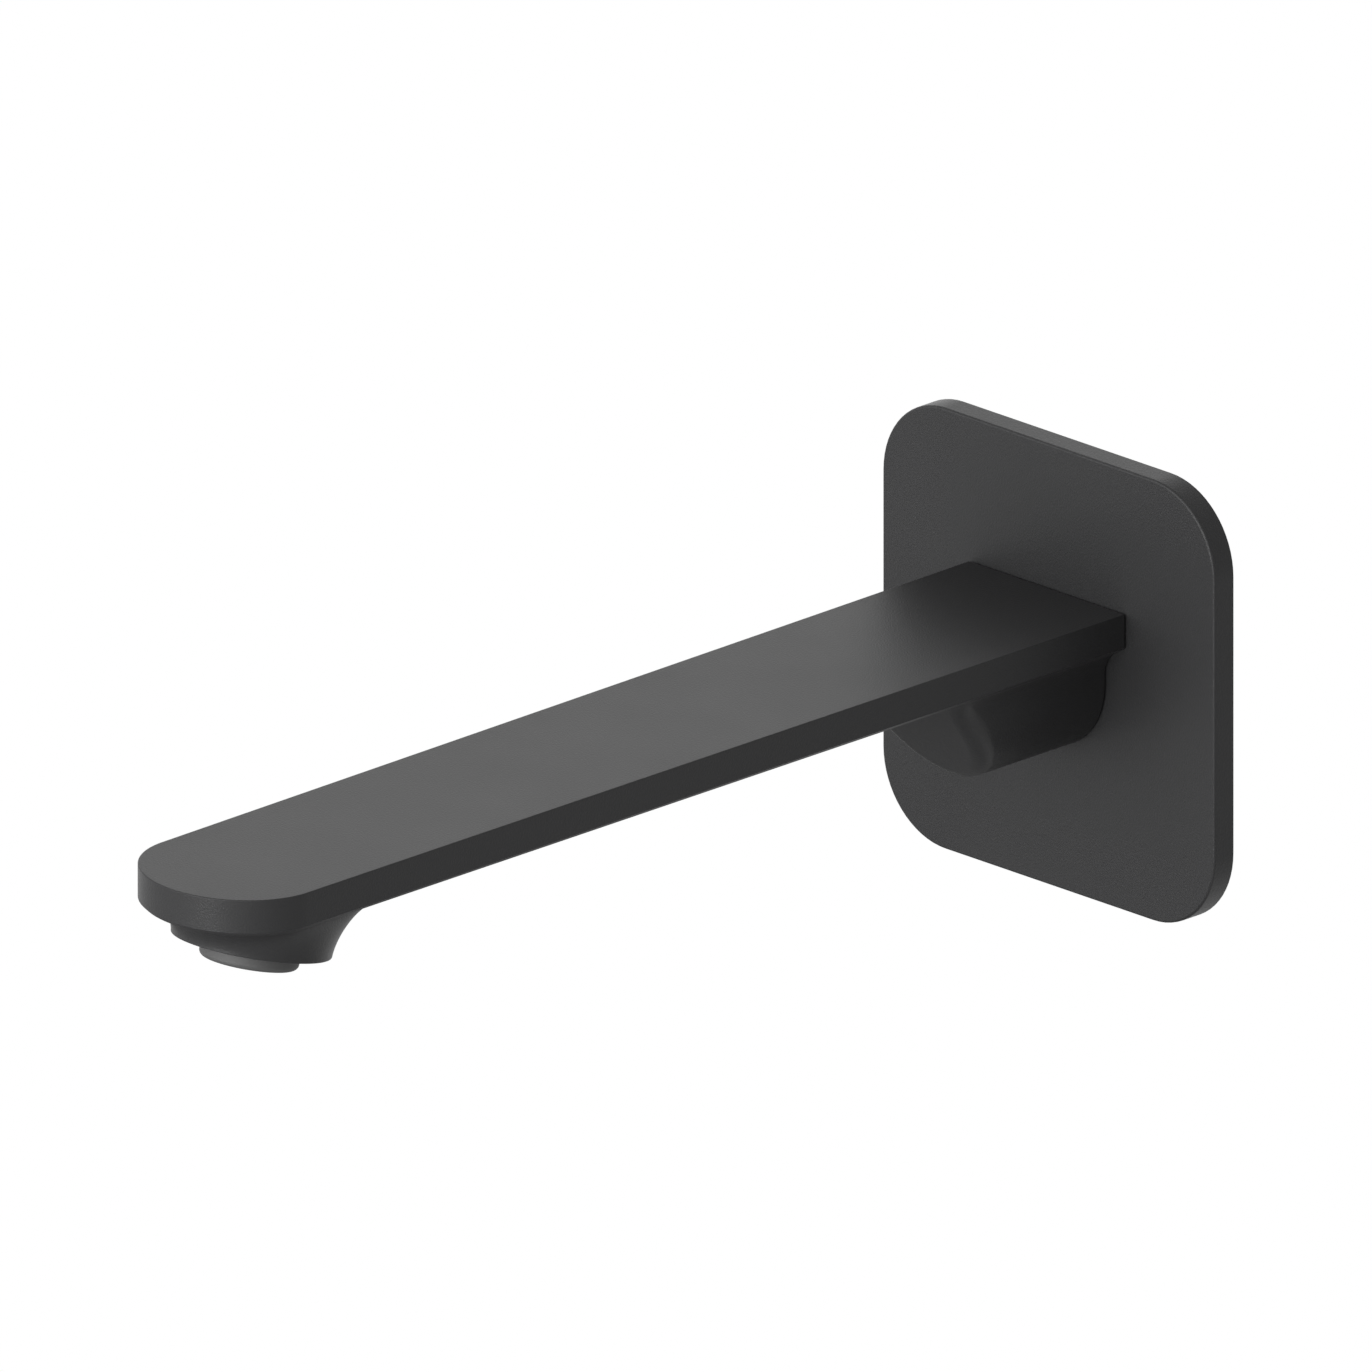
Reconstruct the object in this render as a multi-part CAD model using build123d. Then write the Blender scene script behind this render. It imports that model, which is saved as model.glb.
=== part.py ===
from build123d import *
import math
import os

# A wall mounted bath spout, in millimetres.
# The origin lies on the wall, on the axis of the inlet. +Z is up, and the arm reaches out along -Y.
# A distance from the wall is called a reach, and the point at that reach has y = -reach.

# Cover plate
plate_size = 80.0
plate_corner = 15.0
plate_depth = 4.6
plate_wall = 1.6
plate_edge_round = 0.45
plate_hub_wall = 2.4

# Foam strip inside the rim of the cover plate
gasket_width = 4.0
gasket_gap = 0.3

# Arm
arm_reach = 215.9
arm_thickness = 6.65
arm_underside = 7.35
arm_half_width_wall = 18.8
arm_half_width_tip = 17.7
tip_length = 15.3
underside_bevel = 0.65
top_edge_round = 0.2
joint_line = 0.45

# Inlet boss under the rear of the arm
boss_radius = 14.0
boss_nose_reach = 37.5
boss_nose_lean = 33.6
boss_nose_round = 3.7
boss_flare_radius = 6.0

# Inlet socket and the spigot around it
thread_radius = 10.478
thread_start = 1.8
thread_length = 13.2
mouth_bevel = 0.8
relief_depth = 0.5
relief_length = 3.0
spigot_wall = 2.4
spigot_clearance = 0.3

# Ring that holds the cover plate on the spigot
groove_depth = 0.9
groove_width = 1.7
groove_reach = 2.1
ring_clearance = 0.05
ring_corner_share = 0.35

# Flat washer at the bottom of the socket
washer_bore_radius = 6.2
washer_thickness = 2.0
washer_clearance = 0.2

# Waterway
inlet_chamber_radius = 7.5
inlet_chamber_length = 10.5
riser_half_width = 8.0
channel_wall = 1.4
channel_half_width = 13.5
channel_end_gap = 14.4
channel_corner = 3.0
outlet_throat_radius = 7.6

# Outlet boss under the tip
outlet_tilt = 13.5
outlet_to_tip = 19.3
lip_height = -1.0
lip_radius = 13.95
lip_edge_round = 0.2
flare_foot_radius = 21.6
flare_fullness = 1.7
flare_top_share = 0.99
flare_corner_sharpness = 12.0
flare_levels = 7
flare_points = 36

# Outlet thread and the aerator screwed into it
aerator_thread_radius = 9.25
aerator_thread_depth = 8.0
aerator_clearance = 0.1
aerator_stand_out = 3.1
aerator_face_radius = 8.65
aerator_face_round = 1.0
aerator_wall = 1.2
aerator_retainer = 0.7
aerator_retainer_height = 0.8
outlet_seal_thickness = 1.2
outlet_seal_bore_radius = 6.6
insert_clearance = 0.1
seat_clearance = 0.02

# Insert inside the aerator
grid_thickness = 2.4
grid_rim = 0.6
grid_pitch = 1.75
grid_web = 0.3
mixing_ring_throat = 5.2
jet_plate_thickness = 1.8
jet_radius = 0.5
inner_jet_circle = 3.0
inner_jets = 9
outer_jet_circle = 5.0
outer_jets = 15
filter_flange = 0.8
filter_wall = 0.5
filter_height = 3.6
filter_crown_radius = 3.2
filter_slots = 10
filter_slot_width = 0.8

# Derived places
arm_top = arm_underside + arm_thickness
rear_face_reach = plate_depth + joint_line
tip_centre_reach = arm_reach - tip_length
outlet_reach = arm_reach - outlet_to_tip
arm_taper = (arm_half_width_wall - arm_half_width_tip) / (tip_centre_reach - rear_face_reach)
spigot_radius = thread_radius + spigot_wall
spigot_end_reach = thread_start - mouth_bevel
plate_bore_radius = spigot_radius + spigot_clearance
thread_end_reach = thread_start + thread_length
socket_floor_reach = thread_end_reach + relief_length
relief_radius = thread_radius + relief_depth
chamber_end_reach = socket_floor_reach + inlet_chamber_length
channel_floor = arm_underside + channel_wall
channel_roof = arm_top - channel_wall
tilt = math.radians(outlet_tilt)
lip_to_underside = arm_underside - lip_height
foot_axis_reach = outlet_reach - lip_to_underside * math.tan(tilt)
housing_radius = aerator_thread_radius - aerator_clearance
housing_bore_radius = aerator_face_radius - aerator_wall
housing_top = aerator_thread_depth - outlet_seal_thickness - 2 * seat_clearance
insert_radius = housing_bore_radius - insert_clearance
grid_seat = aerator_retainer_height - aerator_stand_out + seat_clearance
filter_seat = housing_top - filter_flange
jet_plate_seat = filter_seat - seat_clearance - jet_plate_thickness
mixing_ring_seat = grid_seat + grid_thickness + seat_clearance
mixing_ring_top = jet_plate_seat - seat_clearance

# Plane at the lip: its Z axis runs up the tilted outlet axis
outlet_plane = Plane(
    origin=(0, -outlet_reach, lip_height),
    x_dir=(1, 0, 0),
    z_dir=(0, math.sin(tilt), math.cos(tilt)),
)


def wall_plane(reach):
    """A plane parallel to the wall, whose Z axis points away from it."""
    return Plane.XZ.offset(reach)


def inlet_disc(radius, start, end):
    """A cylinder about the inlet axis, from one reach to another."""
    return extrude(wall_plane(start) * Circle(radius), amount=end - start)


def outlet_disc(radius, bottom, top):
    """A cylinder about the outlet axis, between two heights above the lip."""
    return extrude(outlet_plane.offset(bottom) * Circle(radius), amount=top - bottom)


def inlet_bevel(radius, depth, start):
    """The cone that opens the mouth of a hole on the inlet axis towards the wall."""
    mouth = wall_plane(start) * Circle(radius + depth)
    throat = wall_plane(start + depth) * Circle(radius)
    return loft([mouth, throat])


def below_roof(solid):
    """The part of a solid that lies below the roof of the waterway."""
    return split(solid, bisect_by=Plane.XY.offset(channel_roof), keep=Keep.BOTTOM)


def arm_outline():
    """The arm in plan: straight tapering sides that end in half an ellipse."""
    rear_right = (arm_half_width_wall, -rear_face_reach)
    rear_left = (-arm_half_width_wall, -rear_face_reach)
    tip_right = (arm_half_width_tip, -tip_centre_reach)
    tip_left = (-arm_half_width_tip, -tip_centre_reach)
    tip = EllipticalCenterArc(
        (0, -tip_centre_reach), arm_half_width_tip, tip_length, start_angle=180, arc_size=180
    )
    sides = [Line(tip_right, rear_right), Line(rear_right, rear_left), Line(rear_left, tip_left)]
    return make_face([tip] + sides)


def arm_bar():
    """The flat bar, beveled along its lower edge and softened along its upper one."""
    bar = extrude(Plane.XY.offset(arm_underside) * arm_outline(), amount=arm_thickness)
    rear = bar.faces().sort_by(Axis.Y)[-1]
    rear_edges = rear.edges()
    lower = [e for e in bar.faces().sort_by(Axis.Z)[0].edges() if e not in rear_edges]
    bar = chamfer(lower, underside_bevel)
    rear_edges = bar.faces().sort_by(Axis.Y)[-1].edges()
    upper = [e for e in bar.faces().sort_by(Axis.Z)[-1].edges() if e not in rear_edges]
    return fillet(upper, top_edge_round)


def inlet_boss():
    """The U section that flares into the arm's underside, its nose cut back on a slant and rounded."""
    nose_half_width = arm_half_width_wall - arm_taper * (boss_nose_reach - rear_face_reach)
    foot = nose_half_width - underside_bevel
    flare_centre = boss_radius + boss_flare_radius
    cut_short = max(0.0, flare_centre - foot)
    flare_start = arm_underside - math.sqrt(boss_flare_radius**2 - cut_short**2)
    shelf = flare_start + boss_flare_radius
    block = 2 * boss_radius
    half = [
        CenterArc((0, 0), boss_radius, start_angle=-90, arc_size=90),
        Line((boss_radius, 0), (boss_radius, flare_start)),
        CenterArc((flare_centre, flare_start), boss_flare_radius, start_angle=180, arc_size=-90),
        Line((flare_centre, shelf), (block, shelf)),
        Line((block, shelf), (block, block)),
        Line((block, block), (0, block)),
    ]
    section = make_face(half + [mirror(line, about=Plane.YZ) for line in half])
    lean = math.radians(boss_nose_lean)
    length = boss_nose_reach + block * math.tan(lean)
    boss = extrude(wall_plane(rear_face_reach) * section, amount=length - rear_face_reach)
    nose = Plane(
        origin=(0, -boss_nose_reach, 0),
        x_dir=(1, 0, 0),
        z_dir=(0, -math.cos(lean), -math.sin(lean)),
    )
    boss = split(boss, bisect_by=nose, keep=Keep.BOTTOM)
    nose_face = boss.faces().sort_by(Axis.Y)[0]
    rounded = [e for e in nose_face.edges() if e.center().Z < arm_top]
    boss = fillet(rounded, boss_nose_round)
    room = Box(2 * foot, 2 * length, 2 * block, align=(Align.CENTER, Align.CENTER, Align.MAX))
    return boss & Pos(0, 0, channel_floor) * room


def flare_reach(angle):
    """How far the foot of the outlet flare lies from the outlet axis, in one plan direction.

    Behind the outlet it is a circle. At the sides and round the tip it stops at the arm's beveled edge.
    """
    across = abs(math.cos(angle))
    along = math.sin(angle)
    half_width = arm_half_width_tip - underside_bevel
    tip_depth = tip_length - underside_bevel
    ahead = tip_centre_reach - foot_axis_reach
    slope = across + arm_taper * along
    edge = (half_width + arm_taper * ahead) / slope if slope > 0 else math.inf
    if edge * along > ahead:
        a = (across / half_width) ** 2 + (along / tip_depth) ** 2
        b = -2 * along * ahead / tip_depth**2
        c = (ahead / tip_depth) ** 2 - 1
        edge = (-b + math.sqrt(b * b - 4 * a * c)) / (2 * a)
    power = flare_corner_sharpness
    return (edge**-power + flare_foot_radius**-power) ** (-1 / power)


def flare_curve(bend):
    """The concave profile of the flare, close to a quarter of an ellipse."""
    return 1 - (1 - bend**flare_fullness) ** (1 / flare_fullness)


def flare_section(share):
    """One closed section of the outlet flare, at a share of the way from the lip to the underside."""
    spread = flare_curve(flare_top_share * share) / flare_curve(flare_top_share)
    points = []
    for i in range(flare_points):
        angle = 2 * math.pi * i / flare_points
        across = math.cos(angle)
        along = math.sin(angle)
        start_z = lip_height + lip_radius * along * math.sin(tilt)
        start_reach = outlet_reach + lip_radius * along * math.cos(tilt)
        rise = arm_underside - start_z
        wall_reach = start_reach - rise * share * math.tan(tilt)
        foot = flare_reach(angle)
        gap_across = foot * across - lip_radius * across
        gap_along = foot_axis_reach + foot * along - (start_reach - rise * math.tan(tilt))
        x = lip_radius * across + gap_across * spread
        reach = wall_reach + gap_along * spread
        points.append((x, -reach, start_z + rise * share))
    return Wire([Edge.make_spline(points, periodic=True)])


def outlet_boss():
    """The tilted outlet, whose wall flares out to the arm's own outline."""
    shares = [i / (flare_levels - 1) for i in range(flare_levels)]
    flare = Solid.make_loft([flare_section(share) for share in shares])
    lip = flare.faces().filter_by(GeomType.PLANE).sort_by(Axis.Z)[0]
    return fillet(lip.edges(), lip_edge_round)


def waterway():
    """The hollow that carries the water from the socket, along the flat arm, to the outlet."""
    chamber = inlet_disc(inlet_chamber_radius, socket_floor_reach, chamber_end_reach)
    riser_depth = chamber_end_reach - socket_floor_reach - channel_corner
    riser = Pos(0, -(chamber_end_reach - riser_depth / 2), 0) * Box(
        2 * riser_half_width, riser_depth, channel_roof, align=(Align.CENTER, Align.CENTER, Align.MIN)
    )
    riser = fillet(riser.edges().filter_by(Axis.Z), channel_corner)
    channel_rear = chamber_end_reach - riser_depth
    channel_front = arm_reach - channel_end_gap - channel_half_width
    straight = channel_front - channel_rear
    plan = Pos(0, -(channel_rear + straight / 2)) * RectangleRounded(
        2 * channel_half_width, straight + 2 * channel_corner, channel_corner
    )
    plan += Pos(0, -channel_front) * Circle(channel_half_width)
    height = channel_roof - channel_floor
    channel = extrude(Plane.XY.offset(channel_floor) * plan, amount=height)
    fall = outlet_disc(outlet_throat_radius, 0, channel_roof - lip_height + outlet_throat_radius)
    return chamber + riser + channel + below_roof(fall)


def spout_body():
    """The one casting: arm, bosses and spigot, bored for the inlet, the waterway and the aerator."""
    spigot = inlet_disc(spigot_radius, spigot_end_reach, rear_face_reach + spigot_wall)
    body = arm_bar() + inlet_boss() + outlet_boss() + spigot
    socket = inlet_disc(thread_radius, spigot_end_reach, socket_floor_reach)
    relief = inlet_disc(relief_radius, thread_end_reach, socket_floor_reach)
    mouth = inlet_bevel(thread_radius, mouth_bevel, spigot_end_reach)
    groove = inlet_disc(spigot_radius, groove_reach, groove_reach + groove_width)
    groove -= inlet_disc(spigot_radius - groove_depth, groove_reach, groove_reach + groove_width)
    outlet = outlet_disc(aerator_thread_radius, -lip_edge_round, aerator_thread_depth)
    return body - socket - relief - mouth - groove - outlet - waterway()


def wall_plate():
    """The hollow backed cover plate, with a hub round the spigot."""
    outline = RectangleRounded(plate_size, plate_size, plate_corner)
    plate = extrude(wall_plane(0) * outline, amount=plate_depth)
    front = plate.faces().sort_by(Axis.Y)[0]
    plate = fillet(front.edges(), plate_edge_round)
    inner_size = plate_size - 2 * plate_wall
    hollow = RectangleRounded(inner_size, inner_size, plate_corner - plate_wall)
    plate -= extrude(wall_plane(0) * hollow, amount=plate_depth - plate_wall)
    hub_radius = plate_bore_radius + plate_hub_wall
    plate += inlet_disc(hub_radius, spigot_end_reach, plate_depth - plate_wall / 2)
    return plate - inlet_disc(plate_bore_radius, 0, plate_depth)


def plate_gasket():
    """The foam strip that follows the inside of the plate's rim and meets the wall."""
    outer_size = plate_size - 2 * (plate_wall + gasket_gap)
    outer_corner = plate_corner - plate_wall - gasket_gap
    inner_size = outer_size - 2 * gasket_width
    strip = RectangleRounded(outer_size, outer_size, outer_corner)
    strip -= RectangleRounded(inner_size, inner_size, outer_corner - gasket_width)
    return extrude(wall_plane(0) * strip, amount=plate_depth - plate_wall)


def plate_ring():
    """The rubber ring in the spigot's groove, squeezed flat against the plate's bore."""
    inner = spigot_radius - groove_depth + ring_clearance
    outer = plate_bore_radius - ring_clearance
    width = groove_width - 2 * ring_clearance
    height = outer - inner
    section = RectangleRounded(height, width, ring_corner_share * min(height, width))
    middle_reach = groove_reach + groove_width / 2
    return revolve(Pos((inner + outer) / 2, -middle_reach) * section, Axis.Y)


def inlet_washer():
    """The flat washer on the floor of the socket."""
    start = socket_floor_reach - washer_thickness
    washer = inlet_disc(relief_radius - washer_clearance, start, socket_floor_reach)
    return washer - inlet_disc(washer_bore_radius, start, socket_floor_reach)


def outlet_seal():
    """The flat seal between the aerator and the shoulder above it."""
    bottom = aerator_thread_depth - seat_clearance - outlet_seal_thickness
    top = aerator_thread_depth - seat_clearance
    seal = outlet_disc(housing_radius - aerator_clearance, bottom, top)
    return seal - outlet_disc(outlet_seal_bore_radius, bottom, top)


def aerator_housing():
    """The grey sleeve that screws into the outlet and stands a little way out of it."""
    thread = outlet_disc(housing_radius, lip_edge_round, housing_top)
    face = outlet_disc(aerator_face_radius, -aerator_stand_out, lip_edge_round)
    lower_edge = face.edges().sort_by(Axis.Z)[0]
    housing = thread + fillet(lower_edge, aerator_face_round)
    bore_start = aerator_retainer_height - aerator_stand_out
    housing -= outlet_disc(housing_bore_radius, bore_start, housing_top)
    mouth_radius = housing_bore_radius - aerator_retainer
    return housing - outlet_disc(mouth_radius, -aerator_stand_out, bore_start)


def stream_grid():
    """The honeycomb that straightens the stream, seen in the outlet from below."""
    grid = outlet_disc(insert_radius, grid_seat, grid_seat + grid_thickness)
    cell = RegularPolygon((grid_pitch - grid_web) / 2, 6, major_radius=False)
    row_height = grid_pitch * math.sqrt(3) / 2
    reach = insert_radius - grid_rim - grid_pitch / 2
    rows = int(insert_radius / row_height) + 1
    cells = Sketch()
    for row in range(-rows, rows + 1):
        for column in range(-rows, rows + 1):
            x = (column + (row % 2) / 2) * grid_pitch
            y = row * row_height
            if math.hypot(x, y) <= reach:
                cells += Pos(x, y) * cell
    return grid - extrude(outlet_plane.offset(grid_seat) * cells, amount=grid_thickness)


def mixing_ring():
    """The ring whose cone gathers the jets on to the honeycomb."""
    ring = outlet_disc(insert_radius, mixing_ring_seat, mixing_ring_top)
    wide = outlet_plane.offset(mixing_ring_top) * Circle(insert_radius - grid_rim)
    narrow = outlet_plane.offset(mixing_ring_seat) * Circle(mixing_ring_throat)
    return ring - loft([narrow, wide])


def jet_plate():
    """The plate whose small holes break the water into jets."""
    plate = outlet_disc(insert_radius, jet_plate_seat, jet_plate_seat + jet_plate_thickness)
    holes = Sketch()
    for circle_radius, count in ((inner_jet_circle, inner_jets), (outer_jet_circle, outer_jets)):
        for i in range(count):
            angle = 2 * math.pi * i / count
            place = Pos(circle_radius * math.cos(angle), circle_radius * math.sin(angle))
            holes += place * Circle(jet_radius)
    return plate - extrude(outlet_plane.offset(jet_plate_seat) * holes, amount=jet_plate_thickness)


def filter_dome():
    """The slotted dome that keeps grit out of the jets."""
    foot_radius = outlet_seal_bore_radius - 2 * insert_clearance
    top = filter_seat + filter_height
    outside = loft(
        [
            outlet_plane.offset(filter_seat) * Circle(foot_radius),
            outlet_plane.offset(top) * Circle(filter_crown_radius),
        ]
    )
    inside = loft(
        [
            outlet_plane.offset(filter_seat) * Circle(foot_radius - filter_wall),
            outlet_plane.offset(top - filter_wall) * Circle(filter_crown_radius - filter_wall),
        ]
    )
    dome = outlet_disc(insert_radius, filter_seat, housing_top) + outside - inside
    slot_top = top - 2 * filter_wall
    slot = Rectangle(foot_radius, filter_slot_width, align=(Align.MIN, Align.CENTER))
    slot = Pos(filter_crown_radius - filter_wall) * slot
    slots = Sketch() + [Rot(0, 0, 360 * i / filter_slots) * slot for i in range(filter_slots)]
    return dome - extrude(outlet_plane.offset(housing_top) * slots, amount=slot_top - housing_top)


pieces = {
    "spout_body": spout_body,
    "wall_plate": wall_plate,
    "plate_gasket": plate_gasket,
    "plate_ring": plate_ring,
    "inlet_washer": inlet_washer,
    "outlet_seal": outlet_seal,
    "aerator_housing": aerator_housing,
    "stream_grid": stream_grid,
    "mixing_ring": mixing_ring,
    "jet_plate": jet_plate,
    "filter_dome": filter_dome,
}

os.makedirs("parts", exist_ok=True)
for name, make in pieces.items():
    export_step(make(), f"parts/{name}.step")
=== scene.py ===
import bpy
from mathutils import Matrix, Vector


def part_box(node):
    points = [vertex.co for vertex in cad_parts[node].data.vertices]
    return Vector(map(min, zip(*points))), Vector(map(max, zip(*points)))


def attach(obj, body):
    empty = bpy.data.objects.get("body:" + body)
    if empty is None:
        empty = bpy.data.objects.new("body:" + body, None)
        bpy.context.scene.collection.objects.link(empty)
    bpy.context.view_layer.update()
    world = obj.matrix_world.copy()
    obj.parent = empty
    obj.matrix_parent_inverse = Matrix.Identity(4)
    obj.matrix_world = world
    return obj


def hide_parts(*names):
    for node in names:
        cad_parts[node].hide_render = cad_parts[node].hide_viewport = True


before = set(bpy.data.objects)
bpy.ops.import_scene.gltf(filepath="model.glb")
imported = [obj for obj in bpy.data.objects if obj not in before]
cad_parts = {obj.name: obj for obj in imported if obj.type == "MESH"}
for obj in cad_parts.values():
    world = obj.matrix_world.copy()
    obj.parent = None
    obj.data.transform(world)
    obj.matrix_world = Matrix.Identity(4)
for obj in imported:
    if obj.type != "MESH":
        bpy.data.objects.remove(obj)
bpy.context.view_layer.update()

import math

import bmesh
import bpy
from bpy.props import FloatProperty, FloatVectorProperty, PointerProperty
from mathutils import Matrix, Vector

bl_info = {
    "name": "Bath spout",
    "version": (1, 0, 0),
    "blender": (4, 5, 0),
    "location": "3D View > Sidebar > Bath spout",
    "description": "Builds the skins, the finishes and the stage of a wall mounted bath spout",
    "category": "Object",
}

# The origin lies on the wall, on the axis of the inlet. +Z is up and the arm reaches out along -Y.
# A distance from the wall is called a reach, and the point at that reach has y = -reach.
MM = 0.001

# What the frame says
BODY_LOW, BODY_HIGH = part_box("spout_body")
PLATE_LOW, PLATE_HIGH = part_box("wall_plate")
ARM_TOP = BODY_HIGH.z
ARM_REACH = -BODY_LOW.y
SPIGOT_REACH = -BODY_HIGH.y
ARM_HALF_WIDTH = BODY_HIGH.x
BOSS_RADIUS = -BODY_LOW.z
PLATE_SIZE = PLATE_HIGH.x - PLATE_LOW.x
PLATE_DEPTH = -PLATE_LOW.y

# Steps of the curves
ROUND_STEPS = 160
TIP_STEPS = 96
CORNER_STEPS = 16
FACE_STEPS = 10
EDGE_STEPS = 5
THREAD_STEPS = 48
THREAD_END_STEPS = 12
SEAM = 1e-7

# Shares of the thread's pitch and depth
HALF_ROOT = 0.46
HALF_CREST = 0.1
SHOULDER_HEIGHT = 0.9
END_HEIGHT = 0.02


class BathSpoutArm(bpy.types.PropertyGroup):
    """Sizes of the body that the frame's boxes don't give."""

    thickness: FloatProperty(
        name="Arm thickness", description="Height of the arm's side", default=6.65 * MM, unit="LENGTH"
    )
    half_width_tip: FloatProperty(
        name="Half width at the tip", description="Where the tip's curve begins",
        default=17.7 * MM, unit="LENGTH",
    )
    tip_length: FloatProperty(
        name="Tip length", description="Depth of the half ellipse at the tip",
        default=15.3 * MM, unit="LENGTH",
    )
    joint_line: FloatProperty(
        name="Joint line", description="Dark gap between arm and cover plate",
        default=0.45 * MM, unit="LENGTH",
    )
    bevel: FloatProperty(
        name="Underside bevel", description="Bevel along the arm's lower edge",
        default=0.65 * MM, unit="LENGTH",
    )
    edge_round: FloatProperty(
        name="Top edge", description="Radius of the arm's upper edge", default=0.2 * MM, unit="LENGTH"
    )
    channel_wall: FloatProperty(
        name="Channel wall", description="Metal above and below the waterway",
        default=1.4 * MM, unit="LENGTH",
    )
    channel_half_width: FloatProperty(
        name="Channel half width", description="Half the waterway's width",
        default=13.5 * MM, unit="LENGTH",
    )
    channel_corner: FloatProperty(
        name="Channel corner", description="Of the waterway's inner corners",
        default=3.0 * MM, unit="LENGTH",
    )
    riser_half_width: FloatProperty(
        name="Riser half width", description="Of the passage up to the channel",
        default=8.0 * MM, unit="LENGTH",
    )
    channel_end_gap: FloatProperty(
        name="Channel end gap", description="From the channel's end to the tip",
        default=14.4 * MM, unit="LENGTH",
    )


class BathSpoutInlet(bpy.types.PropertyGroup):
    """Sizes of the inlet boss, the spigot and the threaded socket."""

    nose_reach: FloatProperty(
        name="Nose reach", description="Reach of the slanted nose on the axis",
        default=37.5 * MM, unit="LENGTH",
    )
    nose_lean: FloatProperty(
        name="Nose lean", description="Slant of the nose", default=math.radians(33.6), subtype="ANGLE"
    )
    nose_round: FloatProperty(
        name="Nose rounding", description="Radius round the nose", default=3.7 * MM, unit="LENGTH"
    )
    flare_radius: FloatProperty(
        name="Flare radius", description="Hollow curve into the underside",
        default=6.0 * MM, unit="LENGTH",
    )
    spigot_wall: FloatProperty(
        name="Spigot wall", description="Metal round the thread", default=2.4 * MM, unit="LENGTH"
    )
    groove_reach: FloatProperty(
        name="Groove reach", description="Start of the ring's groove", default=2.1 * MM, unit="LENGTH"
    )
    groove_width: FloatProperty(
        name="Groove width", description="Of the ring's groove", default=1.7 * MM, unit="LENGTH"
    )
    groove_depth: FloatProperty(
        name="Groove depth", description="Of the ring's groove", default=0.9 * MM, unit="LENGTH"
    )
    thread_radius: FloatProperty(
        name="Thread radius", description="At the bottom of the thread",
        default=10.478 * MM, unit="LENGTH",
    )
    thread_crest: FloatProperty(
        name="Crest radius", description="At the crest of the thread", default=9.33 * MM, unit="LENGTH"
    )
    thread_pitch: FloatProperty(
        name="Thread pitch", description="One turn's advance", default=1.814 * MM, unit="LENGTH"
    )
    thread_start: FloatProperty(
        name="Thread start", description="Reach of the thread's mouth", default=1.8 * MM, unit="LENGTH"
    )
    thread_length: FloatProperty(
        name="Thread length", description="Length of full thread", default=13.2 * MM, unit="LENGTH"
    )
    relief_length: FloatProperty(
        name="Relief length", description="Run-out behind the thread", default=3.0 * MM, unit="LENGTH"
    )
    relief_depth: FloatProperty(
        name="Relief depth", description="Depth of the run-out", default=0.5 * MM, unit="LENGTH"
    )
    chamber_radius: FloatProperty(
        name="Chamber radius", description="Hollow behind the socket", default=7.5 * MM, unit="LENGTH"
    )
    chamber_length: FloatProperty(
        name="Chamber length", description="Hollow behind the socket", default=10.5 * MM, unit="LENGTH"
    )


class BathSpoutOutlet(bpy.types.PropertyGroup):
    """Sizes of the flared outlet and of the aerator in it."""

    tilt: FloatProperty(
        name="Outlet tilt", description="Lean of the outlet's axis",
        default=math.radians(13.5), subtype="ANGLE",
    )
    reach: FloatProperty(
        name="Outlet reach", description="Centre of the lip", default=196.6 * MM, unit="LENGTH"
    )
    lip_height: FloatProperty(
        name="Lip height", description="Height of the lip's centre", default=-1.0 * MM, unit="LENGTH"
    )
    lip_radius: FloatProperty(
        name="Lip radius", description="Outside of the lip", default=13.95 * MM, unit="LENGTH"
    )
    lip_round: FloatProperty(
        name="Lip edge", description="Radius of the lip's edge", default=0.2 * MM, unit="LENGTH"
    )
    foot_radius: FloatProperty(
        name="Foot radius", description="Where the flare meets the underside",
        default=21.6 * MM, unit="LENGTH",
    )
    fullness: FloatProperty(
        name="Fullness", description="Power of the flare's hollow curve", default=1.7
    )
    top_share: FloatProperty(
        name="Top share", description="How far round its curve the flare runs", default=0.99
    )
    corner_sharpness: FloatProperty(
        name="Corner sharpness", description="How tightly the foot follows the arm's edge", default=12.0
    )
    bore_radius: FloatProperty(
        name="Bore radius", description="Of the aerator's seat", default=9.25 * MM, unit="LENGTH"
    )
    bore_depth: FloatProperty(
        name="Bore depth", description="Of the aerator's seat", default=8.0 * MM, unit="LENGTH"
    )
    throat_radius: FloatProperty(
        name="Throat radius", description="Of the hole above the seat", default=7.6 * MM, unit="LENGTH"
    )
    face_radius: FloatProperty(
        name="Aerator face", description="Radius of the aerator's face",
        default=8.65 * MM, unit="LENGTH",
    )
    face_round: FloatProperty(
        name="Aerator edge", description="Rounding of its lower edge", default=1.0 * MM, unit="LENGTH"
    )
    stand_out: FloatProperty(
        name="Aerator stand-out", description="How far it stands out of the lip",
        default=3.1 * MM, unit="LENGTH",
    )
    clearance: FloatProperty(
        name="Aerator clearance", description="Between its thread and the bore",
        default=0.1 * MM, unit="LENGTH",
    )
    seal_room: FloatProperty(
        name="Seal room", description="Left above the sleeve for its seal",
        default=1.24 * MM, unit="LENGTH",
    )
    wall: FloatProperty(
        name="Aerator wall", description="Of the aerator's sleeve", default=1.2 * MM, unit="LENGTH"
    )
    retainer: FloatProperty(
        name="Retainer", description="Inward step at the aerator's mouth",
        default=0.7 * MM, unit="LENGTH",
    )
    retainer_height: FloatProperty(
        name="Retainer height", description="Of the step at the mouth", default=0.8 * MM, unit="LENGTH"
    )


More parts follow.
